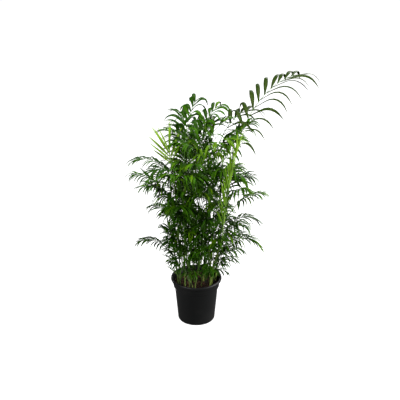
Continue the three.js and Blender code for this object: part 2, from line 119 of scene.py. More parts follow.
# name, cane, height on the cane (0: the cane's tip), heading, length, rise at the base,
# slope at the tip, bare share of the length, pairs, leaflet length, habit, tint
FROND_ROWS = (
    ("tall_right", "i", 0, 33, 553, 84, 1, 0.38, 13, 152, HIGH, "olive"),
    ("second_right", "g", 0, 38, 309, 82, 0, 0.44, 8, 112, HIGH, "olive"),
    ("spear_right", "j", 0, -32, 338, 86, 74, 0.14, 8, 97, FOLDED, "lime"),
    ("top_left", "c", 0, 45, 300, 89, 46, 0.42, 10, 92, CURLED, "deep"),
    ("top_mid", "f", 0, 28, 245, 88, 30, 0.37, 9, 98, CURLED, "mid"),
    ("young_left", "b", 0, 135, 210, 84, 76, 0.76, 5, 125, FANNED, "young"),
    ("crest", "f", 492, -30, 150, 86, 12, 0.36, 8, 82, OPEN, "fresh"),
    ("crest_left", "m", 0, 146, 185, 80, 5, 0.45, 9, 82, OPEN, "mid"),
    ("crest_right", "g", 440, -12, 215, 80, 0, 0.45, 9, 85, OPEN, "mid"),
    ("left_high", "k", 0, 178, 278, 86, -20, 0.5, 9, 68, OPEN, "deep"),
    ("left_mid", "a", 0, 186, 226, 87, 0, 0.5, 9, 66, OPEN, "deep"),
    ("left_low_mid", "b", 396, 190, 185, 84, -8, 0.5, 9, 62, OPEN, "mid"),
    ("left_low", "a", 232, 182, 150, 60, -30, 0.45, 8, 48, OPEN, "deep"),
    ("left_foot", "a", 195, 188, 70, 72, 25, 0.4, 4, 36, SPARSE, "mid"),
    ("left_front_high", "b", 350, -110, 150, 84, 10, 0.4, 9, 74, FINE, "mid"),
    ("left_front", "b", 300, -104, 150, 84, 25, 0.4, 9, 70, STEEP, "deep"),
    ("left_front_low", "b", 240, -118, 112, 82, 10, 0.4, 8, 60, STEEP, "deep"),
    ("front_left_top", "c", 410, -115, 200, 84, 25, 0.42, 9, 85, FINE, "mid"),
    ("front_left_high", "c", 330, -95, 170, 84, 15, 0.4, 9, 80, FINE, "deep"),
    ("front_left", "d", 0, -105, 172, 86, 45, 0.4, 9, 66, STEEP, "deep"),
    ("front_left_mid", "d", 240, -65, 135, 82, 40, 0.4, 8, 60, STEEP, "deep"),
    ("front_left_low", "d", 205, -112, 100, 78, 30, 0.4, 7, 50, STEEP, "deep"),
    ("front", "e", 0, -85, 165, 86, 45, 0.4, 9, 66, STEEP, "deep"),
    ("front_low", "e", 220, -45, 118, 78, 35, 0.4, 8, 56, STEEP, "deep"),
    ("front_top", "m", 410, -105, 205, 84, 20, 0.42, 9, 85, FINE, "mid"),
    ("front_right_top", "g", 365, -70, 190, 84, 25, 0.42, 9, 74, FINE, "mid"),
    ("front_right_high", "g", 290, -35, 160, 82, 20, 0.4, 9, 68, FINE, "deep"),
    ("front_right", "h", 0, -100, 165, 86, 45, 0.4, 9, 66, STEEP, "deep"),
    ("front_right_mid", "h", 238, -120, 130, 82, 35, 0.4, 9, 60, STEEP, "deep"),
    ("front_right_low", "h", 200, -55, 105, 78, 30, 0.4, 8, 54, STEEP, "deep"),
    ("right_front", "i", 350, -62, 150, 82, 5, 0.4, 9, 80, FINE, "mid"),
    ("right_upper", "g", 385, 5, 220, 74, 0, 0.45, 9, 74, OPEN, "deep"),
    ("right_mid", "i", 360, -8, 175, 62, 5, 0.45, 8, 58, OPEN, "mid"),
    ("right_lower", "i", 270, -10, 190, 85, -60, 0.42, 8, 62, OPEN, "deep"),
    ("right_low", "i", 200, 0, 195, 71, -55, 0.45, 8, 62, OPEN, "mid"),
    ("right_hem", "i", 178, -30, 110, 76, -29, 0.4, 6, 44, SPARSE, "deep"),
    ("right_back", "i", 260, 55, 185, 75, -15, 0.4, 9, 76, OPEN, "mid"),
    ("back_top", "f", 425, 105, 235, 80, 0, 0.42, 9, 85, FINE, "mid"),
    ("back_high", "f", 365, 65, 210, 76, -10, 0.4, 9, 80, FINE, "deep"),
    ("back", "l", 0, 75, 215, 84, -10, 0.4, 9, 80, FINE, "fresh"),
    ("back_mid", "l", 265, 120, 185, 72, -20, 0.4, 9, 76, FINE, "mid"),
    ("back_low", "l", 225, 35, 165, 68, -25, 0.4, 8, 70, FINE, "deep"),
    ("back_left_high", "k", 335, 115, 210, 78, -10, 0.4, 9, 80, FINE, "mid"),
    ("back_left", "k", 290, 128, 155, 74, -20, 0.4, 9, 70, FINE, "deep"),
    ("back_left_low", "k", 240, 100, 150, 68, -30, 0.4, 8, 68, FINE, "deep"),
)
FRONDS = [Frond(*row) for row in FROND_ROWS]

# ---------------- sizes of the finer growth
# more fronds in the thick of the crown: cane, height, heading, length, rise, fall, leaflet, tint
EXTRAS = (
    ("c", 478, 95, 215, 88, 60, 92, "deep"),
    ("c", 460, 60, 270, 87, 35, 95, "mid"),
    ("b", 405, 80, 300, 88, 50, 90, "deep"),
    ("k", 360, 80, 320, 88, 55, 90, "mid"),
    ("g", 475, 20, 255, 88, 45, 92, "mid"),
    ("m", 515, 40, 230, 86, 25, 95, "mid"),
    ("i", 388, -20, 190, 84, 10, 72, "mid"),
    ("j", 250, -10, 120, 82, -20, 66, "mid"),
    ("i", 215, 20, 110, 78, -20, 64, "deep"),
    ("j", 210, 0, 100, 78, -20, 60, "mid"),
    ("j", 190, -25, 85, 72, -20, 54, "deep"),
    ("i", 230, 5, 130, 82, -15, 68, "deep"),
    ("j", 230, -20, 110, 80, -20, 62, "deep"),
    ("j", 175, 10, 70, 70, -20, 52, "mid"),
    ("m", 505, 120, 235, 87, 40, 95, "deep"),
    ("f", 480, 130, 195, 87, 50, 92, "mid"),
    ("m", 500, -30, 250, 86, 5, 92, "fresh"),
    ("g", 458, -26, 150, 84, -15, 84, "mid"),
    ("f", 474, -3, 235, 87, 25, 92, "mid"),
    ("g", 444, 84, 240, 87, 30, 92, "deep"),
    ("c", 440, 185, 170, 86, -20, 78, "mid"),
    ("i", 378, 42, 185, 84, 10, 82, "mid"),
    ("g", 422, -5, 150, 84, -10, 82, "mid"),
    ("i", 246, -54, 135, 82, -15, 68, "mid"),
    ("i", 300, -15, 130, 80, -25, 66, "mid"),
    ("i", 284, -35, 125, 76, -30, 64, "mid"),
    ("j", 300, 10, 120, 80, -20, 64, "deep"),
    ("c", 467, 190, 150, 86, -15, 82, "deep"),
    ("k", 356, 190, 195, 86, 5, 74, "mid"),
    ("j", 186, -75, 62, 72, -25, 46, "deep"),
    ("h", 184, -60, 55, 72, -25, 44, "deep"),
    ("e", 182, -120, 50, 72, -25, 42, "mid"),
    ("d", 184, -60, 52, 72, -25, 42, "deep"),
    ("b", 186, -60, 58, 72, -25, 44, "deep"),
)
INNER_SPLIT = 300.0  # seat height that parts the small fronds into two pieces
EXTRA_BARE = 0.42
BROAD_FROM = 80.0  # leaflet length from which a single small frond is a broad one
PAIR_SPACE = 24.0

# small fronds between the named ones; a pair of sizes is one low and one high up
FILL_SEED = 41
FILL_LOWEST = 178.0
FILL_HIGHEST = 480.0
FILL_FIRST = 12.0
FILL_UNDER_TIP = 10.0
FILL_STEP = (30.0, 17.0)  # height between two of them on one cane
FILL_LONG = (66.0, 190.0)
FILL_LEAF = (58.0, 88.0)
FILL_FALL = (60.0, 5.0)  # slope at the tip
FILL_RISE = (78.0, 87.0)
FILL_STRAY = 85.0  # how far a heading strays from the cane's outward side
STEP_SPREAD = (0.8, 1.25)
LONG_SPREAD = (0.8, 1.15)
LEAF_SPREAD = (0.85, 1.15)
FALL_SPREAD = (-20, 20)
FILL_BARE = 0.36
FILL_PAIR_SPACE = 15.0
FEWEST_PAIRS = 5
LEAFY = 0.6  # share of a small frond's length that its pairs are counted over
STEEP_BELOW = 0.45  # level under which a small frond is a steep one
DEEP_BELOW = 0.4  # level under which its tint is one of the low ones
LOW_TINTS = ("deep", "deep", "deep", "mid")
HIGH_TINTS = ("deep", "mid")
SHRINK = (1.0, 0.88, 0.76, 0.64, 0.52)
END_LEAF_OUT = 0.35  # share of a leaflet's length that stands out beyond the frond's end
REACH = (  # height, and the middle and radius of the room that the small fronds keep to
    (150, 0, 86),
    (200, 0, 96),
    (290, 0, 112),
    (370, -1, 118),
    (450, -2, 142),
    (530, 8, 142),
    (600, 30, 112),
    (720, 26, 98),
    (780, 10, 78),
)
OPENINGS = (  # middle x, middle height, half width and half height of the crown's open places
    (52, 388, 3, 13),
    (6, 434, 9, 10),
    (76, 690, 20, 14),
    (70, 652, 16, 12),
)
OPEN_SLOPE = 0.445

# tufts of long steep fronds under the tips of the high canes
TUFT_SEED = 29
TUFT_CANES = "acfgikm"
TUFT_FRONDS = 8
TUFT_TOP = 5.0
TUFT_DEEP = 62.0
TUFT_TURN = 137.5
TUFT_STRAY = 12
TUFT_LONG = (160.0, 275.0)
TUFT_LEAF = (72.0, 98.0)
TUFT_RISE = (80, 87)
TUFT_FALL = (-10, 45)

# thin young shoots between the canes
SHOOT_SEED = 23
SHOOTS = 18
SHOOT_GIRTH = 0.56
SHOOT_REACH = 60.0
SHOOT_ROOM = 3.2
SHOOT_TIP = (180, 300)
SHOOT_LEAN = (15, 62)
SHOOT_STRAY = 65
SHOOT_HEADING = (-60, 60)
SHOOT_TURN = 130
SHOOT_SEATS = (7, 16)  # how far under the tip its second and third frond sit
SHOOT_LONG = (80, 125)
SHOOT_LEAF = (44, 60)
SHOOT_RISES = (84, 74, 74)
SHOOT_FALL = -20
SHOOT_BARE = 0.3
SHOOT_PAIRS = 5
SHOOT_TINTS = ("mid", "deep", "fresh")

# leaflets
LEAF_SEED = 7
LEAF_STEPS = 10
LEAF_END_SHARE = 0.55  # length of the end leaflets as a share of the longest
LEAF_THICK = 0.45
LEAF_FULLEST = 0.36  # where along it a leaflet is broadest
LEAF_FOOT = 0.32  # half width at its foot, as a share of the broadest
LEAF_POINT = 1.75
SHORT_BROAD = 0.55  # a leaflet that is short for its frond is narrower too
SHORT_LONG = 2.2
SWELL_FROM = 0.18  # the leaflets' lengths follow this stretch of a half wave along the rib
SWELL_SPAN = 0.72
FOLD_DEG = 17.0  # each half of a leaflet slopes down from its ridge
STEEPEST = -86.0
TURNED_UP = 0.25  # share of a leaflet's length over which its face turns upwards
HAND_SHIFT = 0.32  # how far the leaflets of one side stand behind their partners
LAST_PAIR = 0.985  # where the last pair stands on the rib
PAIR_CROWD = 0.88
LEAF_SAMPLE = 3.0
SAMPLE_ASIDE = 0.7  # where across a broad leaflet its room is tested too
BLADE_ROOM = 0.9
LEAF_ROOT_FREE = 6.0
SOIL_ROOM = 6.0
LEAF_TRIES = (  # size, more lift, how far it bends
    (1.0, 0, 1.0),
    (1.0, 9, 0.85),
    (0.97, -9, 1.1),
    (0.9, 16, 0.6),
    (0.9, -18, 1.0),
    (0.75, 5, 0.8),
)
TINT_DRIFT = {  # the tints that the leaflets of a frond of each tint take
    "olive": ("olive",),
    "deep": ("deep", "deep", "deep", "mid"),
    "mid": ("mid", "mid", "mid", "deep", "fresh"),
    "fresh": ("fresh", "fresh", "mid"),
    "lime": ("lime", "lime", "fresh", "young"),
    "young": ("young", "young", "lime"),
}
YOUNG = ("lime", "young")


# ---------------- vectors, in plain floats
def moved(p, way, far):
    return (p[0] + way[0] * far, p[1] + way[1] * far, p[2] + way[2] * far)


def between(p, q, share):
    return (
        p[0] + (q[0] - p[0]) * share,
        p[1] + (q[1] - p[1]) * share,
        p[2] + (q[2] - p[2]) * share,
    )


def cross(p, q):
    return (p[1] * q[2] - p[2] * q[1], p[2] * q[0] - p[0] * q[2], p[0] * q[1] - p[1] * q[0])


def apart(p, q):
    return math.sqrt((p[0] - q[0]) ** 2 + (p[1] - q[1]) ** 2 + (p[2] - q[2]) ** 2)


def unit(p):
    size = math.sqrt(p[0] ** 2 + p[1] ** 2 + p[2] ** 2)
    return (p[0] / size, p[1] / size, p[2] / size)


def cell_of(p):
    return (math.floor(p[0] / CELL), math.floor(p[1] / CELL), math.floor(p[2] / CELL))


def eased(u):
    return u * u * (3 - 2 * u)


def low_to_high(pair, level):
    return pair[0] + (pair[1] - pair[0]) * min(1.0, level)


class Space:
    """A store of points, each with its own radius, that answers whether a place is free."""

    def __init__(self):
        self.cells = {}

    def claim(self, points, radius, owner):
        for p in points:
            self.cells.setdefault(cell_of(p), []).append((p, radius, owner))

    def free(self, points, radius, exempt):
        return all(self.free_at(p, radius, exempt) for p in points)

    def free_at(self, p, radius, exempt):
        x, y, z = cell_of(p)
        for i in (x - 1, x, x + 1):
            for j in (y - 1, y, y + 1):
                for k in (z - 1, z, z + 1):
                    for q, other, owner in self.cells.get((i, j, k), ()):
                        if owner != exempt and apart(p, q) < radius + other:
                            return False
        return True


# ---------------- canes and spines
def cane_axis(cane, height):
    """The middle of a cane at a height: it leans outwards more and more."""
    x, y, lean_x, lean_y, tip = CANES[cane]
    share = ((height - SOIL_TOP) / (tip - SOIL_TOP)) ** CANE_LEAN_POWER
    return (x + lean_x * share, y + lean_y * share, height)


def cane_radius(cane, height):
    tip = CANES[cane][4]
    share = (height - SOIL_TOP) / (tip - SOIL_TOP)
    plain = CANE_LOW_R + (CANE_TIP_R - CANE_LOW_R) * share
    flare = max(0.0, 1 - (height - SOIL_TOP) / FLARE_HIGH)
    girth = SHOOT_GIRTH if cane.startswith("shoot") else 1.0
    return (plain + (CANE_FOOT_R - CANE_LOW_R) * flare) * girth


class Spine:
    """The middle line of a frond's stalk and rib, from its seat on the cane to its tip."""

    def __init__(self, frond, turn, rise):
        self.frond = frond
        self.rise = rise
        angle = math.radians(turn)
        self.heading = (math.cos(angle), math.sin(angle), 0.0)
        self.side = (-self.heading[1], self.heading[0], 0.0)
        if frond.at == 0:
            root = moved(cane_axis(frond.cane, CANES[frond.cane][4]), UP, TIP_GAP)
        else:
            seat = cane_radius(frond.cane, frond.at) + SEAT_GAP
            root = moved(cane_axis(frond.cane, frond.at), self.heading, seat)
        self.places = [root]
        for k in range(SPINE_STEPS):
            way = self.along((k + 0.5) / SPINE_STEPS)
            self.places.append(moved(self.places[k], way, frond.long / SPINE_STEPS))

    def along(self, share):
        """The rib's direction: from the rise at its foot it bends to the tip's slope."""
        bent = share**self.frond.habit.bend
        slope = math.radians(self.rise + (self.frond.fall - self.rise) * bent)
        flat = math.cos(slope)
        return (self.heading[0] * flat, self.heading[1] * flat, math.sin(slope))

    def above(self, share):
        """The direction that the rib's upper side faces."""
        return cross(self.along(share), self.side)

    def place(self, share):
        at = min(share, 1.0) * SPINE_STEPS
        k = min(math.floor(at), SPINE_STEPS - 1)
        return between(self.places[k], self.places[k + 1], at - k)

    def samples(self):
        """Points along the stalk and rib, close enough to test and claim its room."""
        count = math.ceil(self.frond.long / STALK_SAMPLE)
        return [self.place(k / count) for k in range(count + 1)]

    def clear_of_cane(self):
        if self.frond.at == 0:
            return True
        cane = self.frond.cane
        tip = CANES[cane][4]
        for p in self.samples():
            if p[2] > tip + GAP:
                continue
            axis = cane_axis(cane, min(p[2], tip))
            out = math.hypot(p[0] - axis[0], p[1] - axis[1])
            if out < cane_radius(cane, min(p[2], tip)) + GAP:
                return False
        return True


def settle(frond, space):
    """The first heading near the wished one at which the stalk is clear of everything."""
    for drop in RISE_TRIES:
        for extra in TURN_TRIES:
            spine = Spine(frond, frond.turn + extra, frond.rise - drop)
            samples = spine.samples()
            root = samples[0]
            inner = [p for p in samples if apart(p, root) <= ROOT_FREE]
            outer = [p for p in samples if apart(p, root) > ROOT_FREE]
            if not spine.clear_of_cane():
                continue
            if not space.free(inner, STALK_ROOM, "cane_" + frond.cane):
                continue
            if not space.free(outer, STALK_ROOM, None):
                continue
            space.claim(samples, STALK_ROOM, frond.name)
            return spine
    return None


def fill_fronds(canes):
    """Small fronds between the named ones: short and steep low down, longer near the top."""
    chance = random.Random(FILL_SEED)
    rows = []
    for cane in canes:
        x, y, _, _, tip = CANES[cane]
        outwards = math.degrees(math.atan2(y, x))
        height = FILL_LOWEST + chance.uniform(0, FILL_FIRST)
        while height < tip - FILL_UNDER_TIP:
            level = (height - FILL_LOWEST) / (FILL_HIGHEST - FILL_LOWEST)
            turn = outwards + chance.gauss(0, FILL_STRAY)
            long = low_to_high(FILL_LONG, level) * chance.uniform(*LONG_SPREAD)
            leaf = low_to_high(FILL_LEAF, level) * chance.uniform(*LEAF_SPREAD)
            fall = low_to_high(FILL_FALL, level) + chance.uniform(*FALL_SPREAD)
            rise = chance.uniform(*FILL_RISE)
            habit = STEEP if level < STEEP_BELOW else FINE
            tint = chance.choice(LOW_TINTS if level < DEEP_BELOW else HIGH_TINTS)
            pairs = max(FEWEST_PAIRS, round(long * LEAFY / FILL_PAIR_SPACE))
            row = (cane, height, turn, long, rise, fall, FILL_BARE, pairs, leaf, habit, tint)
            rows.append(Frond(f"fill_{cane}_{len(rows)}", *row))
            height += low_to_high(FILL_STEP, level) * chance.uniform(*STEP_SPREAD)
    return rows


def extra_fronds():
    """The small fronds that are placed one by one."""
    rows = []
    for n, (cane, at, turn, long, rise, fall, leaf, tint) in enumerate(EXTRAS):
        habit = BROAD if leaf > BROAD_FROM else FINE
        pairs = round(long / PAIR_SPACE)
        row = (cane, at, turn, long, rise, fall, EXTRA_BARE, pairs, leaf, habit, tint)
        rows.append(Frond(f"fill_{cane}_extra_{n}", *row))
    return rows


def tuft_fronds():
    """The long steep fronds that crowd under the tips of the high canes."""
    chance = random.Random(TUFT_SEED)
    rows = []
    for cane in TUFT_CANES:
        tip = CANES[cane][4]
        first = chance.uniform(0, 360)
        for k in range(TUFT_FRONDS):
            at = tip - TUFT_TOP - TUFT_DEEP * k / TUFT_FRONDS
            turn = first + TUFT_TURN * k + chance.gauss(0, TUFT_STRAY)
            long = chance.uniform(*TUFT_LONG)
            leaf = chance.uniform(*TUFT_LEAF)
            rise = chance.uniform(*TUFT_RISE)
            fall = chance.uniform(*TUFT_FALL)
            tint = chance.choice(("mid", "deep"))
            pairs = round(long / PAIR_SPACE)
            row = (cane, at, turn, long, rise, fall, FILL_BARE, pairs, leaf, BROAD, tint)
            rows.append(Frond(f"fill_{cane}_tuft_{k}", *row))
    return rows


def room_left(place):
    """How far a place is from the side of the room that the small fronds keep to."""
    heights, middles, radii = zip(*REACH)
    middle = float(np.interp(place[2], heights, middles))
    radius = float(np.interp(place[2], heights, radii))
    return radius - math.hypot(place[0] - middle, place[1])


def within_reach(frond):
    """The frond, shortened until its end and part of a leaflet keep inside the reach."""
    for share in SHRINK:
        smaller = frond._replace(long=frond.long * share, leaf=frond.leaf * share**0.5)
        end = Spine(smaller, smaller.turn, smaller.rise).places[-1]
        if room_left(end) > smaller.leaf * END_LEAF_OUT:
            return smaller
    return None


def grow_shoots(space):
    """Thin young stems between the canes, each with a few short fronds at its top."""
    chance = random.Random(SHOOT_SEED)
    names, rows = [], []
    while len(names) < SHOOTS:
        far = SHOOT_REACH * math.sqrt(chance.random())
        bearing = chance.uniform(0, 2 * math.pi)
        name = f"shoot_{len(names)}"
        tip = chance.uniform(*SHOOT_TIP)
        lean = chance.uniform(*SHOOT_LEAN)
        leant = bearing + math.radians(chance.gauss(0, SHOOT_STRAY))
        foot = (far * math.cos(bearing), far * math.sin(bearing))
        CANES[name] = (*foot, lean * math.cos(leant), lean * math.sin(leant), tip)
        samples = [cane_axis(name, z) for z in np.arange(SOIL_TOP, tip, STALK_SAMPLE).tolist()]
        if not space.free(samples, SHOOT_ROOM, None):
            continue
        space.claim(samples, SHOOT_ROOM, "cane_" + name)
        names.append(name)
        heading = math.degrees(bearing) + chance.uniform(*SHOOT_HEADING)
        seats = [0] + [tip - under for under in SHOOT_SEATS]
        for k, (at, rise) in enumerate(zip(seats, SHOOT_RISES)):
            long = chance.uniform(*SHOOT_LONG)
            leaf = chance.uniform(*SHOOT_LEAF)
            tint = chance.choice(SHOOT_TINTS)
            shape = (long, rise, SHOOT_FALL, SHOOT_BARE, SHOOT_PAIRS, leaf, OPEN, tint)
            rows.append(Frond(f"fill_{name}_{k}", name, at, heading + SHOOT_TURN * k, *shape))
    return names, rows


# ---------------- leaflets
class Leaf:
    """One leaflet: its middle line, and at each stop its width direction and half width."""

    def __init__(self, points, widths, halves, tint):
        self.points = points
        self.widths = widths
        self.halves = halves
        self.tint = tint

    def samples(self):
        """Points along the leaflet, and across it where it is broad."""
        picked = []
        for k in range(len(self.points) - 1):
            p, q = self.points[k], self.points[k + 1]
            rows = max(1, math.ceil(apart(p, q) / LEAF_SAMPLE))
            for row in range(rows):
                middle = between(p, q, row / rows)
                picked.append(middle)
                if self.halves[k] > LEAF_SAMPLE:
                    aside = self.halves[k] * SAMPLE_ASIDE
                    picked.append(moved(middle, self.widths[k], aside))
                    picked.append(moved(middle, self.widths[k], -aside))
        picked.append(self.points[-1])
        return picked


def outline(share):
    """Half width of a leaflet along its length, as a share of its fullest half width."""
    if share < LEAF_FULLEST:
        return LEAF_FOOT + (1 - LEAF_FOOT) * eased(share / LEAF_FULLEST)
    return 1 - ((share - LEAF_FULLEST) / (1 - LEAF_FULLEST)) ** LEAF_POINT


def in_open_place(p):
    """Whether a point lies in one of the crown's open places, which slope down to the back."""
    height = p[2] + OPEN_SLOPE * p[1]
    return any(
        ((p[0] - x) / wide) ** 2 + ((height - z) / high) ** 2 < 1 for x, z, wide, high in OPENINGS
    )


def leaf_course(spine, share, hand, change, whim):
    """A leaflet's first direction and its length."""
    frond, habit = spine.frond, spine.frond.habit
    size, more_lift, _ = change
    u = max(0.0, (share - frond.bare) / (1 - frond.bare))
    along = spine.along(share)
    above = spine.above(share)
    angle = math.radians(habit.spread + (habit.close - habit.spread) * u + whim["angle"])
    lift = math.radians(habit.lift + more_lift + whim["lift"])
    swell = math.sin(math.pi * (SWELL_FROM + SWELL_SPAN * u))
    long = frond.leaf * size * whim["size"] * (LEAF_END_SHARE + (1 - LEAF_END_SHARE) * swell)
    way = [
        along[i] * math.cos(angle)
        + spine.side[i] * hand * math.cos(lift) * math.sin(angle)
        + above[i] * math.sin(lift) * math.sin(angle)
        for i in range(3)
    ]
    return way, long


def leaf_line(spine, share, hand, change, whim):
    """A leaflet's middle line and width directions: it bends over and turns its face upwards."""
    habit = spine.frond.habit
    above = spine.above(share)
    way, long = leaf_course(spine, share, hand, change, whim)
    rise_first = math.degrees(math.atan2(way[2], math.hypot(way[0], way[1])))
    bearing = math.atan2(way[1], way[0])
    knee_from, knee_to = (edge + whim["knee"] for edge in habit.knee)
    drop = (habit.hang + whim["hang"] - rise_first) * habit.pull * change[2]
    points = [spine.place(share)]
    widths = []
    for j in range(LEAF_STEPS):
        at = (j + 0.5) / LEAF_STEPS
        bent = eased(min(1.0, max(0.0, (at - knee_from) / (knee_to - knee_from))))
        rise = math.radians(max(rise_first + min(drop, 0.0) * bent, STEEPEST))
        swing = bearing + math.radians(whim["swing"]) * at
        flat = math.cos(rise)
        way = (flat * math.cos(swing), flat * math.sin(swing), math.sin(rise))
        points.append(moved(points[j], way, long / LEAF_STEPS))
        level = (math.sin(swing), -math.cos(swing), 0.0)
        plane = cross(way, above)
        toward = sum(plane[i] * level[i] for i in range(3))
        plane = unit(tuple(c if toward >= 0 else -c for c in plane))
        turned_up = habit.level * min(1.0, at / TURNED_UP)
        across = unit(between(plane, level, turned_up))
        over = cross(across, way)
        roll = math.radians(whim["roll"] * at)
        turn, tip_up = math.cos(roll), math.sin(roll)
        widths.append(unit(tuple(across[i] * turn + over[i] * tip_up for i in range(3))))
    widths.append(widths[-1])
    return points, widths, long


def whims_of(habit, chance):
    """How one leaflet strays from the comb."""
    return {
        "angle": chance.gauss(0, 3.0) * habit.loose,
        "lift": chance.gauss(0, 5.0) * habit.loose,
        "size": chance.uniform(0.92, 1.06),
        "hang": chance.gauss(0, 10.0) * habit.loose,
        "knee": chance.uniform(-0.08, 0.08),
        "swing": chance.gauss(0, 7.0) * habit.loose,
        "roll": chance.gauss(0, 18.0),
    }


def free_leaf(spine, share, hand, whim, tint, space):
    """The first leaflet of the tries that finds a free place, or None."""
    frond = spine.frond
    for change in LEAF_TRIES:
        points, widths, long = leaf_line(spine, share, hand, change, whim)
        full = frond.habit.broad / 2 * min(1.0, SHORT_BROAD + long / (SHORT_LONG * frond.leaf))
        halves = [full * outline(k / LEAF_STEPS) for k in range(LEAF_STEPS + 1)]
        leaf = Leaf(points, widths, halves, tint)
        outer = [p for p in leaf.samples() if apart(p, points[0]) > LEAF_ROOT_FREE]
        if any(in_open_place(p) for p in outer):
            continue
        if points[-1][2] < SOIL_TOP + SOIL_ROOM:
            continue
        if not space.free(outer, BLADE_ROOM, frond.name):
            continue
        space.claim(outer, BLADE_ROOM, frond.name)
        return leaf
    return None


def grow_leaves(spine, space, chance):
    """The leaflets of one frond, less those that find no free place."""
    frond, habit = spine.frond, spine.frond.habit
    pairs = round(frond.pairs * habit.more)
    leaves = []
    for pair in range(pairs):
        for hand in (1, -1):
            at = (pair + (0.0 if hand > 0 else HAND_SHIFT)) / (pairs - 0.5)
            share = frond.bare + (LAST_PAIR - frond.bare) * min(1.0, at) ** PAIR_CROWD
            whim = whims_of(habit, chance)
            tint = chance.choice(TINT_DRIFT[frond.tint])
            leaf = free_leaf(spine, share, hand, whim, tint, space)
            if leaf:
                leaves.append(leaf)
    return leaves


# ---------------- meshes from many leaflets
COLUMNS = (-1.0, -0.5, 0.0, 0.5, 1.0)  # across the upper face, and back across the lower
AROUND = 2 * len(COLUMNS) - 2
PER_LEAF = LEAF_STEPS * AROUND + 1  # a ring at each step, and the tip
ARCH = 1.3  # how the halves curve down from the ridge
TIP_THIN = 0.5
EDGE_THIN = 0.4
LEAF_CRISP = 28


def leaf_places(leaf):
    """The vertices of one closed, ridged leaflet: a ring at each step, and the tip."""
    places = []
    for k in range(LEAF_STEPS):
        p = leaf.points[k]
        q = leaf.points[k + 1]
        before = leaf.points[max(k - 1, 0)]
        way = unit(tuple(q[i] - before[i] for i in range(3)))
        across = leaf.widths[k]
        over = unit(cross(across, way))
        half = leaf.halves[k]
        drop = half * math.tan(math.radians(FOLD_DEG))
        thick = LEAF_THICK * (1 - TIP_THIN * k / LEAF_STEPS)
        for column in COLUMNS:
            edge = moved(p, across, half * column)
            places.append(moved(edge, over, -drop * abs(column) ** ARCH))
        for column in COLUMNS[-2:0:-1]:
            edge = moved(p, across, half * column)
            low = drop * abs(column) ** ARCH + thick * (1 - EDGE_THIN * abs(column))
            places.append(moved(edge, over, -low))
    places.append(leaf.points[-1])
    return places


def leaf_faces():
    """The faces of one leaflet: bands between the rings, a fan at the tip, a cap at the foot."""
    faces = []
    for k in range(LEAF_STEPS - 1):
        for j in range(AROUND):
            i = (j + 1) % AROUND
            a, b = k * AROUND, (k + 1) * AROUND
            faces.append((a + j, a + i, b + i, b + j))
    last = (LEAF_STEPS - 1) * AROUND
    for j in range(AROUND):
        faces.append((last + j, last + (j + 1) % AROUND, PER_LEAF - 1))
    faces.append(tuple(range(AROUND - 1, -1, -1)))
    return faces


def blades(name, leaves, tints):
    """One joined mesh of closed leaflets, each with its own tint."""
    faces = leaf_faces()
    loops = [i for face in faces for i in face]
    sizes = [len(face) for face in faces]
    count = len(leaves)
    places = np.array([leaf_places(leaf) for leaf in leaves])
    all_loops = (np.array(loops)[None, :] + PER_LEAF * np.arange(count)[:, None]).ravel()
    all_sizes = np.tile(np.array(sizes), count)
    starts = np.concatenate(([0], np.cumsum(all_sizes)[:-1]))
    mesh = bpy.data.meshes.new(name)
    mesh.vertices.add(count * PER_LEAF)
    mesh.vertices.foreach_set("co", (places * MM).astype(np.float32).ravel())
    mesh.loops.add(len(all_loops))
    mesh.loops.foreach_set("vertex_index", all_loops.astype(np.int32))
    mesh.polygons.add(len(all_sizes))
    mesh.polygons.foreach_set("loop_start", starts.astype(np.int32))
    order = list(tints)
    which = np.repeat([order.index(leaf.tint) for leaf in leaves], len(sizes))
    for tint in order:
        mesh.materials.append(tints[tint])
    mesh.polygons.foreach_set("material_index", which.astype(np.int32))
    around_u = [(c + 1) / 2 for c in COLUMNS + COLUMNS[-2:0:-1]]
    u_of = np.array([around_u[i % AROUND] for i in range(PER_LEAF - 1)] + [0.5])
    v_of = np.array([(i // AROUND) / LEAF_STEPS for i in range(PER_LEAF - 1)] + [1.0])
    uv = mesh.uv_layers.new(name="leaf")
    flat = np.stack([u_of[loops], v_of[loops]], axis=1)
    uv.data.foreach_set("uv", np.tile(flat, (count, 1)).astype(np.float32).ravel())
    mesh.update(calc_edges=True)
    mesh.validate()
    mesh.polygons.foreach_set("use_smooth", [True] * len(mesh.polygons))
    mesh.set_sharp_from_angle(angle=math.radians(LEAF_CRISP))
    return link(name, mesh)


def link(name, mesh):
    piece = bpy.data.objects.new(name, mesh)
    bpy.context.scene.collection.objects.link(piece)
    return piece


# ---------------- tubes: canes, stalks and ribs
def new_loop(geometry):
    """The vertices of a fresh extrusion, and the edges that join them."""
    ring = [g for g in geometry if isinstance(g, bmesh.types.BMVert)]
    inside = set(ring)
    edges = [
        g
        for g in geometry
        if isinstance(g, bmesh.types.BMEdge) and g.verts[0] in inside and g.verts[1] in inside
    ]
    return ring, edges


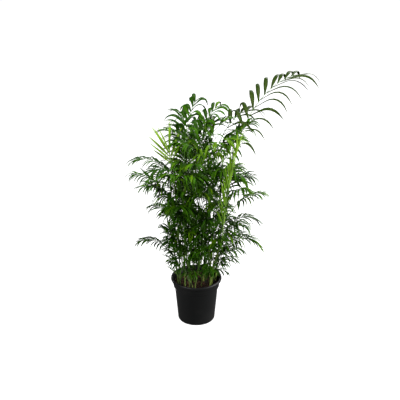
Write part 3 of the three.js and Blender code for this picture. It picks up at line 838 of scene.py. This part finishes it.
def tube(bm, stops, sides, layer=None):
    """Extrudes a loop from stop to stop. A stop is a place, a way, a radius and a mark."""
    turns = []
    for place, way, radius, _ in stops:
        aim = Vector(way).to_track_quat("Z", "Y").to_matrix().to_4x4()
        size = Matrix.Diagonal((radius * MM, radius * MM, radius * MM, 1))
        turns.append(Matrix.Translation(Vector(place) * MM) @ aim @ size)
    start = bmesh.ops.create_circle(
        bm, cap_ends=True, cap_tris=False, segments=sides, radius=1.0, matrix=turns[0]
    )
    ring = start["verts"]
    edges = list({e for v in ring for e in v.link_edges})
    for k, stop in enumerate(stops):
        if k > 0:
            ring, edges = new_loop(bmesh.ops.extrude_edge_only(bm, edges=edges)["geom"])
            step = turns[k] @ turns[k - 1].inverted_safe()
            bmesh.ops.transform(bm, matrix=step, verts=ring)
        if layer is not None:
            for v in ring:
                v[layer] = stop[3]
    bmesh.ops.contextual_create(bm, geom=edges)


def finished(name, bm, materials, smooth=True, crisp=None):
    """The object of a bmesh, faces outward; edges sharper than the crisp angle stay sharp."""
    bmesh.ops.recalc_face_normals(bm, faces=bm.faces)
    mesh = bpy.data.meshes.new(name)
    bm.to_mesh(mesh)
    bm.free()
    for material in materials:
        mesh.materials.append(material)
    mesh.polygons.foreach_set("use_smooth", [smooth] * len(mesh.polygons))
    if crisp is not None:
        mesh.set_sharp_from_angle(angle=math.radians(crisp))
    return link(name, mesh)


CANE_SEED = 5
CANE_SIDES = 14
CANE_STEP = 14.0
CANE_CRISP = 50
NEARBY = 3.0  # how far over and under a stop its cane's direction is read
SLENDER = 0.78  # a cane between its rings, as a share of the solid's thickness
FOOT_STOPS = (-1.0, 4.0, 9.0, FLARE_HIGH)
NODE_FIRST = (10, 18)  # height of a cane's first ring above the soil
NODE_SPACE = 24.0  # first stretch between two rings of a cane
NODE_UNDER_TIP = 6.0
NODE_SPREAD = (0.85, 1.25)
NODE_RISE = 0.4
NODE_HALF = 2.2
NODE_SHARP = 1.5
NODE_STOPS = (-NODE_HALF, -0.7, 0.0, 0.6, 1.8)
SHEATH_LONG = 34.0
SHEATH_OUT = 0.6
SHEATH_TOP = 2.6
SHEATH_GREEN = 1.5  # how soon over its foot a sleeve takes its own green
SHEATH_STOPS = (-SHEATH_LONG, -8.0, -0.5, 2.5, 3.1)


def cane_heights(nodes, seats, tip):
    """The heights at which a cane gets a stop."""
    heights = {tip}
    heights.update(SOIL_TOP + stop for stop in FOOT_STOPS)
    heights.update(node + stop for node in nodes for stop in NODE_STOPS)
    heights.update(seat + stop for seat in seats for stop in SHEATH_STOPS)
    middle = SOIL_TOP + FLARE_HIGH
    while middle < tip:
        heights.add(middle)
        middle += CANE_STEP
    return sorted(height for height in heights if height <= tip)


def cane_stops(cane, seats, chance):
    """The stops of one cane, with a raised ring at each node and a sleeve under each stalk."""
    tip = CANES[cane][4]
    nodes = []
    height = SOIL_TOP + chance.uniform(*NODE_FIRST)
    while height < tip - NODE_UNDER_TIP:
        nodes.append(height)
        height += NODE_SPACE * chance.uniform(*NODE_SPREAD)
    stops = []
    for height in cane_heights(nodes, seats, tip):
        level = max(height, SOIL_TOP)
        slender = cane_radius(cane, level) * SLENDER
        radius = slender
        mark = 0.0
        for node in nodes:
            near = max(0.0, 1 - abs(height - node) / NODE_HALF)
            radius += NODE_RISE * near**NODE_SHARP
            mark = max(mark, near)
        for seat in seats:
            if seat - SHEATH_LONG < height <= seat + SHEATH_TOP:
                share = (height - seat + SHEATH_LONG) / SHEATH_LONG
                radius = slender + SHEATH_OUT * min(1.0, share)
                mark = -min(1.0, share * SHEATH_GREEN)
        axis = cane_axis(cane, level)
        low = cane_axis(cane, max(level - NEARBY, SOIL_TOP))
        high = cane_axis(cane, min(level + NEARBY, tip))
        way = unit(tuple(high[i] - low[i] for i in range(3)))
        stops.append(((axis[0], axis[1], height), way, radius, mark))
    return stops


STALK_R = 1.75
RIB_R = 0.55
STALK_TAPER = 0.85
STALK_SIDES = 8
STALK_STEP = 9.0
STALK_CRISP = 60
SHEATHED = 14.0  # how far a side stalk stays thick over its seat
SHEATHED_OUT = 0.7
CARRIED_ON = 30.0  # how far a stalk on a cane's tip keeps to the cane's thickness
SUNK = 2.0  # how far such a stalk starts inside the cane
UNDER_CANE = (0.1, 0.2)  # how much thinner than the cane it is, inside it and over it
SIDE_SUNK = (1.2, 3.0)  # how far a side stalk starts inwards and lower than its seat


def stalk_stops(spine):
    """The stops of one stalk and rib, whose foot is sunk in its cane."""
    frond = spine.frond
    on_tip = frond.at == 0
    root = spine.places[0]
    if on_tip:
        foot = (moved(root, UP, -SUNK), CANE_TIP_R - UNDER_CANE[0])
    else:
        foot = (moved(moved(root, spine.heading, -SIDE_SUNK[0]), UP, -SIDE_SUNK[1]), STALK_R)
    stops = [(foot[0], spine.along(0.0), foot[1], 0.0)]
    count = max(10, round(frond.long / STALK_STEP))
    for k in range(count + 1):
        share = k / count
        far = share * frond.long
        radius = STALK_R + (RIB_R - STALK_R) * share**STALK_TAPER
        if not on_tip and far < SHEATHED:
            radius += SHEATHED_OUT * (1 - far / SHEATHED)
        if on_tip and far < CARRIED_ON:
            radius += (CANE_TIP_R - UNDER_CANE[1] - radius) * (1 - far / CARRIED_ON)
        stops.append((spine.place(share), spine.along(share), radius, 0.0))
    return stops


# ---------------- shader maths
class Shade:
    """A socket of one node tree whose operators add Math nodes."""

    def __init__(self, tree, socket):
        self.tree = tree
        self.socket = socket

    def _math(self, operation, left, right):
        node = self.tree.nodes.new("ShaderNodeMath")
        node.operation = operation
        join(self.tree, node.inputs[0], left)
        join(self.tree, node.inputs[1], right)
        return Shade(self.tree, node.outputs[0])

    def __add__(self, other):
        return self._math("ADD", self, other)

    __radd__ = __add__

    def __sub__(self, other):
        return self._math("SUBTRACT", self, other)

    def __rsub__(self, other):
        return self._math("SUBTRACT", other, self)

    def __mul__(self, other):
        return self._math("MULTIPLY", self, other)

    __rmul__ = __mul__


def join(tree, socket, value):
    """Links a socket, or sets it where the value is plain."""
    if isinstance(value, Shade):
        tree.links.new(value.socket, socket)
    else:
        socket.default_value = value


class Finish:
    """A material in the making, with one method that adds any node."""

    def __init__(self, name):
        self.material = bpy.data.materials.new(name)
        self.material.use_nodes = True
        self.tree = self.material.node_tree
        self.tree.nodes.clear()
        self.surface = self.tree.nodes.new("ShaderNodeBsdfPrincipled")
        output = self.tree.nodes.new("ShaderNodeOutputMaterial")
        self.tree.links.new(self.surface.outputs[0], output.inputs[0])

    def node(self, kind, settings=None, out=0, **values):
        node = self.tree.nodes.new("ShaderNode" + kind)
        for key, value in (settings or {}).items():
            setattr(node, key, value)
        for key, value in values.items():
            socket = node.inputs[int(key[1:])] if key[0] == "_" else node.inputs[key]
            join(self.tree, socket, value)
        return Shade(self.tree, node.outputs[out])

    def mixed(self, factor, low, high):
        """A colour between two, each of them plain or a socket."""
        low = (*low, 1) if isinstance(low, tuple) else low
        high = (*high, 1) if isinstance(high, tuple) else high
        return self.node("Mix", {"data_type": "RGBA"}, 2, _0=factor, _6=low, _7=high)

    def set(self, **values):
        for key, value in values.items():
            join(self.tree, self.surface.inputs[key.replace("_", " ")], value)

    def bump(self, height, strength, distance):
        normal = self.node("Bump", None, 0, Strength=strength, Distance=distance, Height=height)
        self.set(Normal=normal)

    def object_place(self):
        return self.node("TexCoord", None, 3)

    def stretched(self, *scale):
        """The place on the object, with its own scale along each axis."""
        return self.node("Mapping", None, 0, Vector=self.object_place(), Scale=scale)

    def spots(self, scale, detail=3.0, rough=0.5, vector=None):
        vector = vector or self.object_place()
        values = {"Vector": vector, "Scale": scale, "Detail": detail, "Roughness": rough}
        return self.node("TexNoise", {"noise_dimensions": "3D"}, 0, **values)

    def larger(self, value):
        """The value, or 0 where it is less."""
        return self.node("Math", {"operation": "MAXIMUM"}, 0, _0=value, _1=0.0)


LEAF_TINTS = {
    "olive": (0.0130, 0.0310, 0.0002),
    "deep": (0.0095, 0.0440, 0.0006),
    "mid": (0.026, 0.090, 0.0008),
    "fresh": (0.068, 0.155, 0.0015),
    "young": (0.215, 0.370, 0.0250),
    "lime": (0.125, 0.255, 0.0120),
}
LEAF_SHEEN = (0.85, 1.0, 0.40, 1)
LEAF_VEINS = 75.0  # waves of the fine veins across a leaflet, in radians
OLD_STALK = (0.060, 0.150, 0.014)
YOUNG_STALK = (0.21, 0.36, 0.07)
CANE_OLD = (0.009, 0.036, 0.004)
CANE_FRESH = (0.19, 0.26, 0.04)
CANE_BLOTCH = (0.05, 0.11, 0.014)
CANE_FIBRE = (0.28, 0.34, 0.08)
CANE_SLEEVE = (0.09, 0.18, 0.024)
CANE_RING = (0.30, 0.29, 0.11)
POT_BLACK = (0.0062, 0.0066, 0.0066)
POT_DUST = (0.016, 0.0155, 0.0145)
POT_STREAK = (0.02, 0.02, 0.02)
PEAT = ((0.005, 0.003, 0.002), (0.021, 0.010, 0.005))
BARKS = {  # the dark and the light colour of each kind of chip
    "bark_red": ((0.018, 0.006, 0.003), (0.072, 0.025, 0.011)),
    "bark_dark": ((0.007, 0.004, 0.003), (0.028, 0.014, 0.008)),
    "bark_pale": ((0.040, 0.020, 0.010), (0.125, 0.066, 0.034)),
    "bark_brown": ((0.012, 0.005, 0.003), (0.048, 0.020, 0.009)),
}


def leaf_finish(tint, colour):
    """A plain leaf colour with a low sheen, and fine veins along the leaflet."""
    finish = Finish("leaf_" + tint)
    across = finish.node("UVMap", {"uv_map": "leaf"}, 0)
    split = finish.node("SeparateXYZ", None, 0, Vector=across)
    veins = finish.node("Math", {"operation": "SINE"}, 0, _0=split * LEAF_VEINS)
    patches = finish.spots(60.0, 2.0)
    finish.set(Base_Color=(*colour, 1), Roughness=patches * 0.22 + 0.34)
    finish.set(Specular_IOR_Level=0.12, Specular_Tint=LEAF_SHEEN)
    finish.bump(veins * 0.5 + patches, 0.25, 0.0004)
    return finish.material


def stalk_finish(name, colour):
    finish = Finish(name)
    patches = finish.spots(90.0, 3.0)
    finish.set(Base_Color=(*colour, 1), Roughness=patches * 0.2 + 0.38)
    finish.bump(patches, 0.3, 0.0005)
    return finish.material


def cane_finish():
    """Old and fresh stretches, fibres along the cane, and its pale rings and green sleeves."""
    finish = Finish("cane_green")
    mark = finish.node("Attribute", {"attribute_name": "ring"}, 2)
    ring = finish.larger(mark)
    sleeve = finish.larger(0.0 - mark)
    fibres = finish.spots(1.0, 4.0, 0.6, finish.stretched(260, 260, 18))
    blotches = finish.spots(38.0, 3.0, 0.55)
    age = finish.spots(1.0, 1.0, 0.5, finish.stretched(47, 47, 2.5)) * 3.4 - 1.2
    base = finish.mixed(age, CANE_OLD, CANE_FRESH)
    base = finish.mixed(blotches * 0.3, base, CANE_BLOTCH)
    base = finish.mixed(fibres * 0.2, base, CANE_FIBRE)
    base = finish.mixed(sleeve * 0.6, base, CANE_SLEEVE)
    base = finish.mixed(ring * 0.6, base, CANE_RING)
    finish.set(Base_Color=base, Roughness=0.42 + fibres * 0.25)
    finish.bump(fibres * 0.5 + blotches * 0.3, 0.35, 0.0006)
    return finish.material


def pot_finish():
    """Black plastic with a fine grain, upright streaks and thin clouds of dust."""
    finish = Finish("black_plastic")
    grain = finish.spots(900.0, 2.0)
    cloud = finish.spots(14.0, 4.0, 0.6)
    streaks = finish.spots(1.0, 3.0, 0.5, finish.stretched(300, 300, 6))
    dust = finish.node("MapRange", None, 0, Value=cloud, _1=0.5, _2=0.75, _3=0.0, _4=1.0)
    base = finish.mixed(dust * 0.5, POT_BLACK, POT_DUST)
    base = finish.mixed(streaks * 0.12, base, POT_STREAK)
    finish.set(Base_Color=base, Roughness=0.36 + cloud * 0.16, Specular_IOR_Level=0.3)
    finish.bump(grain * 0.6 + streaks * 0.4, 0.18, 0.0003)
    return finish.material


def bark_finish(name, low, high):
    finish = Finish(name)
    coarse = finish.spots(220.0, 4.0, 0.65)
    fine = finish.spots(900.0, 3.0, 0.6)
    base = finish.mixed(coarse, low, high)
    finish.set(Base_Color=base, Roughness=0.85 + fine * 0.12, Specular_IOR_Level=0.25)
    finish.bump(coarse * 0.6 + fine * 0.4, 0.7, 0.0012)
    return finish.material


# ---------------- pot
POT_STEPS = 96
POT_CRISP = 40
POT_FLOOR = 4.5
POT_PROFILE = (  # radius, height, and the rounding of the corner with its segments
    (0.0, 2.2, 0, 0),
    (48.0, 2.2, 0, 0),
    (50.0, 0.0, 0, 0),
    (FOOT_R - 3.2, 0.0, 1.4, 3),
    (FOOT_R, 3.4, 1.8, 3),
    (FOOT_R + 0.35, 8.0, 0, 0),
    (SIDE_TOP_R - 0.1, COLLAR_LOW - 1.2, 0.8, 2),
    (COLLAR_R - 1.0, COLLAR_LOW + 1.0, 0.8, 2),
    (COLLAR_R, COLLAR_HIGH, 1.2, 2),
    (RIM_R - 1.6, COLLAR_HIGH + 2.2, 1.6, 3),
    (RIM_R, COLLAR_HIGH + 6.0, 2.0, 3),
    (RIM_R, POT_HIGH - 3.0, 2.4, 3),
    (RIM_R - 1.6, POT_HIGH, 1.2, 3),
    (RIM_R - 4.4, POT_HIGH, 1.2, 3),
    (COLLAR_R - POT_WALL, COLLAR_HIGH + 2.0, 0, 0),
    (COLLAR_R - POT_WALL - 1.1, COLLAR_LOW + 2.5, 0, 0),
    (SIDE_TOP_R - POT_WALL - 0.1, COLLAR_LOW + 1.0, 0, 0),
    (FOOT_R - POT_WALL, POT_FLOOR, 0, 0),
    (0.0, POT_FLOOR, 0, 0),
)


def make_pot(material):
    """The pot's profile, its corners rounded, spun a full turn round the Z axis."""
    bm = bmesh.new()
    verts = [bm.verts.new((row[0] * MM, 0.0, row[1] * MM)) for row in POT_PROFILE]
    for a, b in zip(verts, verts[1:]):
        bm.edges.new((a, b))
    for vert, (_, _, size, segments) in reversed(list(zip(verts, POT_PROFILE))):
        if size:
            bmesh.ops.bevel(
                bm, geom=[vert], offset=size * MM, offset_type="OFFSET", affect="VERTICES",
                segments=segments, profile=0.5, material=-1,
            )
    bmesh.ops.spin(
        bm, geom=bm.verts[:] + bm.edges[:], cent=(0, 0, 0), axis=(0, 0, 1), dvec=(0, 0, 0),
        angle=2 * math.pi, steps=POT_STEPS, use_merge=True, use_duplicate=False,
    )
    bmesh.ops.remove_doubles(bm, verts=bm.verts, dist=1e-6)
    return finished("pot_shell", bm, [material], True, POT_CRISP)


# ---------------- soil
def soil_level(x, y):
    """Height of the soil's rough top, in millimetres."""
    swell = 1.3 * math.sin(x * 0.071 + 0.4) * math.cos(y * 0.063 - 0.9)
    lumps = 0.8 * math.sin(x * 0.31 + y * 0.17) + 0.5 * math.sin(y * 0.43 - x * 0.23 + 2.0)
    return SOIL_TOP - 1.5 + swell + lumps * 0.6


PEAT_R = SOIL_R - 0.6
PEAT_STEPS = 72
PEAT_HALVINGS = 3
PEAT_DEEP = 12.0


def make_soil(peat):
    """A disc of peat with a rough top and a side that hides in the pot."""
    bm = bmesh.new()
    bmesh.ops.create_circle(
        bm, cap_ends=True, cap_tris=True, segments=PEAT_STEPS, radius=PEAT_R * MM
    )
    for _ in range(PEAT_HALVINGS):
        bmesh.ops.subdivide_edges(bm, edges=bm.edges, cuts=1, use_grid_fill=True)
    for v in bm.verts:
        v.co.z = soil_level(v.co.x / MM, v.co.y / MM) * MM
    rim = [e for e in bm.edges if e.is_boundary]
    low, low_edges = new_loop(bmesh.ops.extrude_edge_only(bm, edges=rim)["geom"])
    for v in low:
        v.co.z = (SOIL_TOP - PEAT_DEEP) * MM
    bmesh.ops.contextual_create(bm, geom=low_edges)
    return finished("soil_peat", bm, [peat], True, None)


CHIP_SEED = 19
CHIPS = 620
CHIPS_R = SOIL_R - 3.5
CHIP_LONG = (3.0, 9.0)
CHIP_WIDE = (0.35, 0.7)  # as a share of its length
CHIP_HIGH = (1.0, 2.6)
CHIP_TILT = (-0.5, 0.5)
CHIP_OUT = (0.1, 0.5)  # share of its height that stands out of the peat
CHIP_CORNER = (0.62, 1.1)
CHIP_LEAST = 2.0
CHIP_NEAR_WALL = 1.6  # a chip's longest length for each millimetre to the pot's wall


def make_chips(barks):
    """Bark chips strewn on the soil: small wedges, each turned its own way."""
    chance = random.Random(CHIP_SEED)
    bm = bmesh.new()
    for n in range(CHIPS):
        far = CHIPS_R * math.sqrt(chance.random())
        bearing = chance.uniform(0, 2 * math.pi)
        x, y = far * math.cos(bearing), far * math.sin(bearing)
        long = chance.uniform(*CHIP_LONG)
        wide = long * chance.uniform(*CHIP_WIDE)
        high = chance.uniform(*CHIP_HIGH)
        long = min(long, max(CHIP_LEAST, CHIP_NEAR_WALL * (SOIL_R - 1.0 - far)))
        lie = Matrix.Rotation(chance.uniform(*CHIP_TILT), 4, "X")
        lie = Matrix.Rotation(chance.uniform(*CHIP_TILT), 4, "Y") @ lie
        spin = Matrix.Rotation(chance.uniform(0, 2 * math.pi), 4, "Z")
        level = soil_level(x, y) + high * chance.uniform(*CHIP_OUT)
        place = Matrix.Translation((x * MM, y * MM, level * MM))
        size = Matrix.Diagonal((long * MM, wide * MM, high * MM, 1))
        made = bmesh.ops.create_cube(bm, size=1.0, matrix=place @ spin @ lie @ size)["verts"]
        middle = sum((v.co for v in made), Vector()) / len(made)
        for v in made:
            v.co = middle + (v.co - middle) * chance.uniform(*CHIP_CORNER)
        for face in {f for v in made for f in v.link_faces}:
            face.material_index = n % len(barks)
    return finished("soil_bark", bm, barks, False, None)


# ---------------- the plant
space = Space()
for cane, row in CANES.items():
    count = math.floor((row[4] - SOIL_TOP) / STALK_SAMPLE)
    heights = [SOIL_TOP + k * STALK_SAMPLE for k in range(count + 1)]
    space.claim([cane_axis(cane, z) for z in heights], CANE_ROOM, "cane_" + cane)

main_canes = list(CANES)
spines = [settle(frond, space) for frond in FRONDS]
shoots, shoot_fronds = grow_shoots(space)
small = shoot_fronds + tuft_fronds() + fill_fronds(main_canes)
small = extra_fronds() + [frond for frond in map(within_reach, small) if frond]
fillers = [spine for spine in (settle(frond, space) for frond in small) if spine]
chance = random.Random(LEAF_SEED)
leaves = {spine.frond.name: grow_leaves(spine, space, chance) for spine in spines + fillers}

tints = {tint: leaf_finish(tint, colour) for tint, colour in LEAF_TINTS.items()}
old_tints = {tint: tints[tint] for tint in ("olive", "deep", "mid", "fresh")}
young_tints = {tint: tints[tint] for tint in ("young", "lime", "fresh")}
stalk_old = stalk_finish("stalk_green", OLD_STALK)
stalk_young = stalk_finish("stalk_young", YOUNG_STALK)
barks = [bark_finish(name, *colours) for name, colours in BARKS.items()]


def dress(piece, slot, *nodes):
    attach(piece, "root")
    if nodes:
        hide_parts(*nodes)


def side_of(frond):
    """The part of the crown that a frond belongs to."""
    if frond.tint in YOUNG:
        return "young"
    for side in ("left", "front", "right", "back"):
        if frond.name.startswith(side):
            return side
    if frond.name.startswith("fill"):
        low = frond.name.startswith("fill_shoot") or frond.at < INNER_SPLIT
        return "inner_low" if low else "inner"
    return "top"


def dress_fronds(side, leaf_tints, stalk, leaf_slot, stalk_slot):
    """The leaflets and the stalks of one part of the crown, each kind as one piece."""
    group = [spine for spine in spines + fillers if side_of(spine.frond) == side]
    names = [spine.frond.name for spine in group]
    nodes = ["frond_" + name for name in names if not name.startswith("fill")]
    leaflets = [leaf for name in names for leaf in leaves[name]]
    dress(blades("leaflets_" + side, leaflets, leaf_tints), leaf_slot, *nodes)
    bm = bmesh.new()
    for spine in group:
        tube(bm, stalk_stops(spine), STALK_SIDES)
    dress(finished("stalks_" + side, bm, [stalk], True, STALK_CRISP), stalk_slot, *nodes)


dress(make_pot(pot_finish()), "pot", "pot")
dress(make_soil(bark_finish("peat", *PEAT)), "soil", "soil")
dress(make_chips(barks), "soil")

bm = bmesh.new()
ring_layer = bm.verts.layers.float.new("ring")
cane_chance = random.Random(CANE_SEED)
for cane in main_canes + shoots:
    seats = sorted(s.frond.at for s in spines + fillers if s.frond.cane == cane and s.frond.at)
    tube(bm, cane_stops(cane, seats, cane_chance), CANE_SIDES, ring_layer)
canes = finished("canes", bm, [cane_finish()], True, CANE_CRISP)
dress(canes, "cane", *["cane_" + cane for cane in main_canes])

for side in ("top", "left", "front", "right", "back", "inner", "inner_low"):
    dress_fronds(side, old_tints, stalk_old, "leaf", "cane")
dress_fronds("young", young_tints, stalk_young, "young_leaf", "young_leaf")

# ---------------- floor, light and camera
FLOOR_HALF = 30.0
BACKDROP_R = 29.0
LAMPS = (  # name, place, power, size
    ("left_box", (-1.9, -1.8, 1.7), 68, 0.8),
    ("right_box", (2.4, -0.6, 1.0), 74, 0.8),
    ("top_box", (0.2, 0.1, 3.0), 84, 0.7),
    ("low_box", (2.2, 0.3, 0.2), 18, 0.5),
    ("back_box", (0.9, 2.3, 1.7), 28, 0.8),
)
LAMPS_AIM = Vector((0.03, 0.0, 0.4))
WORLD_LIGHT = 0.12
EYE = (0.01238, -3.0, 1.78)
EYE_TILT = 24.06  # degrees that the camera looks down
SENSOR = 36.0
FOCAL_SHARE = 1003.06 / 400  # focal length as a share of the picture's side

floor_finish = Finish("pale_floor")
floor_finish.set(Base_Color=(0.36, 0.36, 0.36, 1), Roughness=0.9, Specular_IOR_Level=0.0)
floor_finish.set(Emission_Color=(1, 1, 1, 1), Emission_Strength=0.95)


def staged(name, bm):
    """A pale surface round the plant that lights nothing."""
    piece = finished(name, bm, [floor_finish.material], False, None)
    piece.visible_diffuse = False
    piece.visible_glossy = False
    return piece


bm = bmesh.new()
bmesh.ops.create_grid(bm, x_segments=1, y_segments=1, size=FLOOR_HALF)
staged("floor", bm)
bm = bmesh.new()
bmesh.ops.create_uvsphere(bm, u_segments=64, v_segments=32, radius=BACKDROP_R)
staged("backdrop", bm).visible_shadow = False

scene = bpy.context.scene
world = bpy.data.worlds.new("studio")
world.use_nodes = True
world.node_tree.nodes["Background"].inputs[0].default_value = (1, 1, 1, 1)
world.node_tree.nodes["Background"].inputs[1].default_value = WORLD_LIGHT
scene.world = world

for name, place, power, size in LAMPS:
    light = bpy.data.lights.new(name, "AREA")
    light.energy = power
    light.shape = "DISK"
    light.size = size
    holder = bpy.data.objects.new(name, light)
    holder.location = place
    holder.rotation_euler = (LAMPS_AIM - holder.location).to_track_quat("-Z", "Y").to_euler()
    scene.collection.objects.link(holder)

camera = bpy.data.cameras.new("camera")
camera.sensor_width = SENSOR
camera.lens = FOCAL_SHARE * SENSOR
camera.clip_start = 0.1
camera.clip_end = 100.0
eye = bpy.data.objects.new("camera", camera)
eye.location = EYE
eye.rotation_euler = (math.radians(90 - EYE_TILT), 0, 0)
scene.collection.objects.link(eye)
scene.camera = eye
scene.view_settings.view_transform = "Standard"
